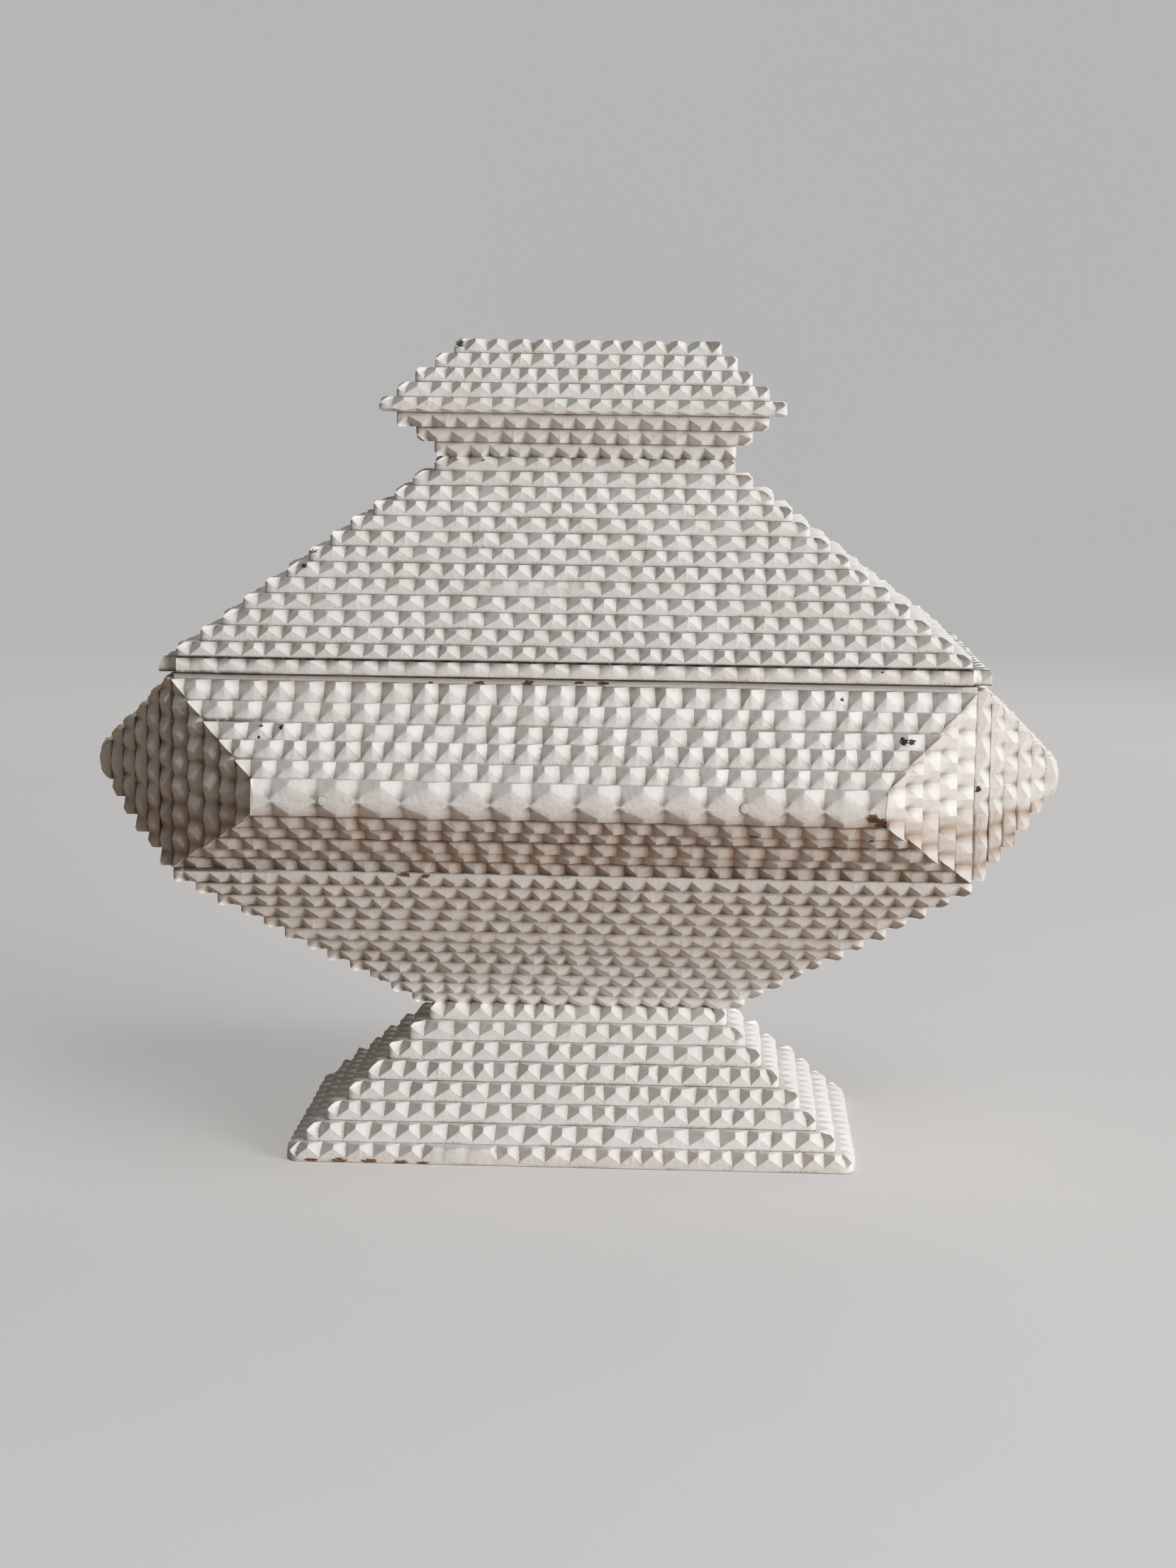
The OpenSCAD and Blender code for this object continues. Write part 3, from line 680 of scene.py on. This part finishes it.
def plain_layers():
    """Foot, bowl, lid and cap: the stacked plates."""
    foot = list(range(1, 9))
    bowl = list(range(12, 0, -1))
    roof = list(range(1, 14))
    cap_low = [3, 2, 1]
    cap_high = [4, 5, 6, 7, 8]
    foot_last = ledges(node_box("foot_plate_7"), node_box("foot_plate_8"), "up")
    bowl_last = ledges(node_box("bowl_plate_2"), node_box("bowl_plate_1"), "down")
    cap_last = ledges(node_box("cap_plate_5"), node_box("cap_plate_6"), "up")
    roof_last = ledges(node_box("roof_plate_12"), node_box("roof_plate_13"), "up")
    stack("foot_plate", "foot_layer", "up", FOOT_PITCH, foot, foot_last,
          {1: {"corner": FOOT_CORNER, "worn": [FOOT_PATCH]}})
    stack("bowl_plate", "bowl_layer", "down", BOWL_PITCH, bowl, bowl_last,
          {12: {"bare_seat": True},
           7: {"seat": BOWL_SEAM, "worn": BOWL_BAND}})
    stack("roof_plate", "roof_layer", "up", ROOF_PITCH, roof, roof_last,
          {1: {"bare_seat": True, "seat": ROOF_SEAM}, 5: {"worn": [ROOF_RUB]}})
    stack("cap_plate", "cap_layer", "down", CAP_PITCH, cap_low, cap_last, {})
    crest = (node_box("cap_plate_8")[1] - node_box("cap_plate_8")[0])[1] / 2
    cap_last = [CREST_SHARE * crest, cap_last[1], CREST_SHARE * crest, cap_last[3]]
    stack("cap_plate", "cap_layer", "up", CAP_PITCH, cap_high, cap_last,
          {4: {"twice": True}, 8: {"bare_top": True, "aligned": True}})


# Notches of the ridge bars as shares of the bar's height: lower edge, ends, upper edge
BAR_CUTS = (0.40, 0.0, 0.53)
END_BAR_CUTS = (0.46, 0.46, 0.46)


def side_layers():
    """Front, back and end pyramids with their ridge bars."""
    fronts = ["front_back_boards"] + [f"front_back_step_{k}" for k in range(2, 6)] + ["ridge_bars"]
    ends = ["end_boards"] + [f"end_step_{k}" for k in range(2, 6)] + ["ridge_bars"]
    body_layers(fronts, "layer", (("front", -1), ("back", 1)), 1, STEP_PITCH)
    body_layers(ends, "layer", (("left", -1), ("right", 1)), 0, STEP_PITCH)
    for facing, sign, axis, nodes in (("front", -1, 1, fronts), ("back", 1, 1, fronts),
                                      ("left", -1, 0, ends), ("right", 1, 0, ends)):
        box = node_box("ridge_bars", axis, sign)
        box[0 if sign > 0 else 1][axis] = inner_face(nodes, 5, axis) * sign
        h = box[1][2] - box[0][2]
        low, tail, up = (share * h for share in (BAR_CUTS if axis == 1 else END_BAR_CUTS))
        board(f"{facing}_ridge_bar", "ridge_bars", box, facing, [low, tail, up, tail], RIDGE_PITCH,
              aligned=True, half=axis == 0, bare_top=True)


# Lid skirt: width of its strips, gap at their joints, reach of the notches on the long strips as a share of
# their thickness, and reach at the ends of the end strips
SKIRT_STRIP = 12.0
SKIRT_GAP = 0.1
SKIRT_REACH = 0.55
SKIRT_END = 3.0


def skirt():
    """The four strips under the lid: long ones between the end ones, notched on their outer edges only."""
    low, high = node_box("lid_skirt")
    roof_low, roof_high = node_box("roof_plate_1")
    reach = SKIRT_REACH * (high[2] - low[2])
    plain = {"still": True, "bare_seat": True, "rim": 0.4}
    for facing, sign in (("front", -1), ("back", 1)):
        y0, y1 = sorted((sign * roof_high[1], sign * (roof_high[1] - SKIRT_STRIP)))
        box = (np.array([roof_low[0], y0, low[2]]), np.array([roof_high[0], y1, high[2]]))
        reaches = [reach, 0, 0, 0] if sign < 0 else [0, 0, reach, 0]
        board(f"skirt_{facing}", "lid_skirt", box, "up", reaches, ROOF_PITCH, **plain)
    wall_d = node_box("core_walls")[1][1]
    inner_d = roof_high[1] - SKIRT_STRIP - SKIRT_GAP
    for facing, sign in (("left", -1), ("right", 1)):
        x0, x1 = sorted((sign * high[0], sign * (roof_high[0] + SKIRT_GAP)))
        box = (np.array([x0, -wall_d, low[2]]), np.array([x1, wall_d, high[2]]))
        reach_out = high[0] - roof_high[0] - LEDGE_GAP
        reaches = [SKIRT_END, reach_out, SKIRT_END, 0] if sign > 0 else [SKIRT_END, 0, SKIRT_END, reach_out]
        board(f"skirt_{facing}", "lid_skirt", box, "up", reaches, ROOF_PITCH, **plain)
        x0, x1 = sorted((sign * (roof_high[0] - SKIRT_STRIP), sign * roof_high[0]))
        box = (np.array([x0, -inner_d, low[2]]), np.array([x1, inner_d, high[2]]))
        inner = board(f"skirt_{facing}_inner", "lid_skirt", box, "up", [0, 0, 0, 0], ROOF_PITCH, **plain)
        inner.data.materials[0] = BARE


# Inner box: thickness of its boards and the gap at their joints
WALL = 5.0
WALL_GAP = 0.05


def walls():
    """The plain box inside: four boards, painted where their top edge shows."""
    low, high = node_box("core_walls")
    for facing, axis, sign in (("front", 1, -1), ("back", 1, 1), ("left", 0, -1), ("right", 0, 1)):
        box = (low.copy(), high.copy())
        box[0 if sign > 0 else 1][axis] = sign * (high[axis] - WALL)
        if axis == 0:
            box[0][1] += WALL + WALL_GAP
            box[1][1] -= WALL + WALL_GAP
        plain = {"still": True, "bare_seat": True, "rim": 0.2}
        board(f"wall_{facing}", "core_walls", box, facing, [0, 0, 0, 0], STEP_PITCH, **plain)


# Nail heads: height of the dome, how deep its edge sits, and how fast the dirt and painted shade at the edge
# thin out inward
NAIL_DOME = 0.35
NAIL_SINK = 0.15
NAIL_RING = 0.6


def nail_heads():
    """Painted-over nail heads: domes whose radius is the root of one less the cube of the rise."""
    points = node_points("ridge_nails")
    far = np.abs(points[:, 1]).max()
    for facing, sign in (("front", -1), ("back", 1)):
        chosen = points[sign * points[:, 1] > far - 0.1]
        for label, way in (("left", -1), ("right", 1)):
            head = chosen[way * chosen[:, 0] > 0]
            middle = (head.min(0) + head.max(0)) / 2
            radius = (head[:, 0].max() - head[:, 0].min()) / 2
            around = np.linspace(0, 2 * np.pi, 33)[:-1, None]
            rise = np.linspace(0, 1, 7)[None, :-1]
            r = radius * np.sqrt(1 - rise ** 3)
            x = middle[0] + sign * -r * np.cos(around)
            z = middle[2] + r * np.sin(around)
            y = middle[1] + sign * (NAIL_DOME * rise - NAIL_SINK) + 0 * around
            grid = np.stack([x, y, z], -1)
            index = np.arange(grid.shape[0] * grid.shape[1]).reshape(grid.shape[:2])
            turned = np.roll(index, -1, 0)
            quads = np.stack([index[:, :-1], turned[:, :-1], turned[:, 1:], index[:, 1:]], -1).reshape(-1, 4)
            marks = np.zeros((index.size, 4))
            # The rim is marked as a base line, so dirt and painted crevice shade ring the head
            marks[:, 0] = np.broadcast_to((radius - r) * NAIL_RING, index.shape).ravel() / BASE_SPAN
            marks[:, 1] = 1.0
            piece = put_mesh(f"nail_{facing}_{label}", grid.reshape(-1, 3), quads,
                             [index[::-1, 0], index[:, -1]], marks, [PAINTED, BARE])
            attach(piece, NODE_BODY["ridge_nails"])
            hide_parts("ridge_nails")


def hardware():
    """Hinges keep their built shape and take the old metal finishes."""
    for node, metal in (("body_hinge_leaves", BRASS), ("lid_hinge_leaves", BRASS), ("hinge_pins", STEEL),
                        ("body_hinge_screws", BRASS), ("lid_hinge_screws", BRASS)):
        mesh = frame["nodes"][node].data
        mesh.materials.clear()
        mesh.materials.append(metal)


# Floor and wall: colours to the eye, colour of the light thrown back, strength of the glow, fade to far
FLOOR_SEEN = (0.92, 0.91, 0.90)
FLOOR_CLOUD = (0.89, 0.88, 0.87)
FLOOR_FAR = (0.655, 0.65, 0.645)
WALL_CLOUD = (0.645, 0.64, 0.64)
FLOOR_BOUNCE = (0.46, 0.31, 0.20)
FLOOR_GLOW = 0.72
FLOOR_FADE = (700.0, 2300.0)

# Floor radius, radius of the bend at its edge and height of the wall
FLOOR_REACH = 4200.0
WALL_BEND = 900.0
WALL_TOP = 7000.0


def seen_rays(place):
    """1 for what the eye meets, straight on, in gloss or through glass; 0 for the light thrown about."""
    names = ("Is Camera Ray", "Is Glossy Ray", "Is Transmission Ray")
    straight, gloss, glass = (place.add("ShaderNodeLightPath", None, None, name) for name in names)
    return straight.largest(gloss).largest(glass)


def floor_material():
    """Pale floor to the eye and in gloss; the light it throws back is weak and warm.

    Farther than a metre or so the lamps count less and less, until the floor has the wall's even tone.
    """
    material, place = new_material("pale_floor")
    seen = seen_rays(place)
    flat = stretched(place, (1.0, 1.0, 0.0))
    reach = place.add("ShaderNodeVectorMath", {"operation": "LENGTH"}, {0: flat}, "Value")
    far = reach.step(*FLOOR_FADE)
    pale = colour_mix(noise(place, 0.004, 3.0), FLOOR_SEEN, FLOOR_CLOUD)
    matt = place.add("ShaderNodeBsdfDiffuse", None, {"Color": colour_mix(seen, FLOOR_BOUNCE, pale)})
    inputs = {"Color": colour_mix(far, pale, FLOOR_FAR), "Strength": FLOOR_GLOW}
    glow = place.add("ShaderNodeEmission", None, inputs)
    shader = place.add("ShaderNodeMixShader", None, {0: seen * (far * 0.5 + 0.5), 1: matt, 2: glow})
    place.add("ShaderNodeOutputMaterial", None, {"Surface": shader})
    return material


def wall_material():
    """Even pale wall to the eye; all other light goes through it."""
    material, place = new_material("pale_wall")
    clear = place.add("ShaderNodeBsdfTransparent")
    tone = colour_mix(noise(place, 0.001, 1.0), FLOOR_FAR, WALL_CLOUD)
    glow = place.add("ShaderNodeEmission", None, {"Color": tone, "Strength": FLOOR_GLOW})
    shader = place.add("ShaderNodeMixShader", None, {0: seen_rays(place), 1: clear, 2: glow})
    place.add("ShaderNodeOutputMaterial", None, {"Surface": shader})
    return material


def turned_stage(name, radius, rise, material):
    """A profile of radius and rise, carried round the upright axis."""
    turn = np.linspace(0, 2 * np.pi, 97)[:-1]
    x = np.outer(radius, np.cos(turn))
    y = np.outer(radius, np.sin(turn))
    grid = np.stack([x, y, np.repeat(rise[:, None], len(turn), 1)], -1)
    index = np.arange(x.size).reshape(x.shape)
    after = np.roll(index, -1, 1)
    quads = np.stack([index[:-1], index[1:], after[1:], after[:-1]], -1).reshape(-1, 4)
    mesh = bpy.data.meshes.new(name)
    mesh.from_pydata((grid.reshape(-1, 3) * METRE).tolist(), [], quads.tolist())
    mesh.materials.append(material)
    mesh.shade_smooth()
    piece = bpy.data.objects.new(name, mesh)
    bpy.context.scene.collection.objects.link(piece)


def studio_sweep():
    """Round floor that curves up into a wall: a flat, then a quarter circle and an upright."""
    angle = np.linspace(0, np.pi / 2, 17)
    turned_stage("studio_floor", np.array([1.0, 1000.0, 2000.0, FLOOR_REACH]), np.zeros(4), floor_material())
    radius = np.append(FLOOR_REACH + WALL_BEND * np.sin(angle), FLOOR_REACH + WALL_BEND)
    rise = np.append(WALL_BEND * (1 - np.cos(angle)), WALL_TOP)
    turned_stage("studio_wall", radius, rise, wall_material())


def camera():
    """Camera from its place, its yaw and pitch, and a small roll about its own line of sight."""
    yaw, pitch, roll = (math.radians(v) for v in (CAMERA_YAW, CAMERA_PITCH, CAMERA_ROLL))
    ahead = np.array([-math.sin(yaw) * math.cos(pitch), math.cos(yaw) * math.cos(pitch), -math.sin(pitch)])
    right = np.array([math.cos(yaw), math.sin(yaw), 0.0])
    up = np.cross(right, ahead)
    right, up = (math.cos(roll) * right + math.sin(roll) * up, math.cos(roll) * up - math.sin(roll) * right)
    turn = np.stack([right, up, -ahead], 1)
    lens = bpy.data.cameras.new("camera")
    lens.sensor_width = SENSOR
    lens.lens = FOCAL_PX * SENSOR / PHOTO_H
    lens.clip_end = 50.0
    eye = bpy.data.objects.new("camera", lens)
    eye.matrix_world = Matrix.Translation([v * METRE for v in CAMERA_AT]) @ Matrix(turn.tolist()).to_4x4()
    bpy.context.scene.collection.objects.link(eye)
    bpy.context.scene.camera = eye


def lamp(name, at, aim, wide, tall, power, colour):
    """Soft oblong lamp at a place, turned to a point; all in metres."""
    data = bpy.data.lights.new(name, "AREA")
    data.shape = "RECTANGLE"
    data.size = wide
    data.size_y = tall
    data.energy = power
    data.color = colour
    light = bpy.data.objects.new(name, data)
    away = Matrix.Translation(at).to_translation() - Matrix.Translation(aim).to_translation()
    light.matrix_world = Matrix.Translation(at) @ away.to_track_quat("Z", "Y").to_matrix().to_4x4()
    bpy.context.scene.collection.objects.link(light)


def studio():
    """Broad light from the right and front, weak fills from left and back, dim warm surroundings."""
    aim = (0.0, 0.0, 0.15)
    lamp("window_side", (1.89, -1.00, 0.68), aim, 0.8, 0.8, 10.0, (1.0, 0.99, 0.98))
    lamp("window_front", (2.56, -2.15, 0.74), aim, 1.5, 0.9, 77.0, (1.0, 0.995, 0.99))
    lamp("ceiling", (0.82, -0.82, 2.02), aim, 1.2, 1.2, 11.0, (1.0, 0.995, 0.99))
    lamp("left_fill", (-1.19, -1.00, 1.71), aim, 1.0, 1.0, 2.2, (1.0, 0.95, 0.88))
    lamp("back_fill", (0.70, 2.00, 1.20), aim, 1.4, 1.4, 11.0, (1.0, 0.99, 0.97))
    world = bpy.data.worlds.new("surroundings")
    bpy.context.scene.world = world
    world.use_nodes = True
    world.node_tree.nodes["Background"].inputs["Color"].default_value = (1.0, 0.89, 0.76, 1.0)
    world.node_tree.nodes["Background"].inputs["Strength"].default_value = 0.042
    bpy.context.scene.view_settings.view_transform = "Standard"


PAINTED = painted_wood()
BARE = bare_wood()
BRASS = aged_metal("aged_brass", (0.71, 0.53, 0.26), (0.42, 0.30, 0.15), (0.14, 0.10, 0.06))
STEEL = aged_metal("dull_steel", (0.47, 0.45, 0.43), (0.25, 0.23, 0.21), (0.17, 0.09, 0.05))
camera()
studio()
studio_sweep()
plain_layers()
side_layers()
skirt()
walls()
nail_heads()
hardware()
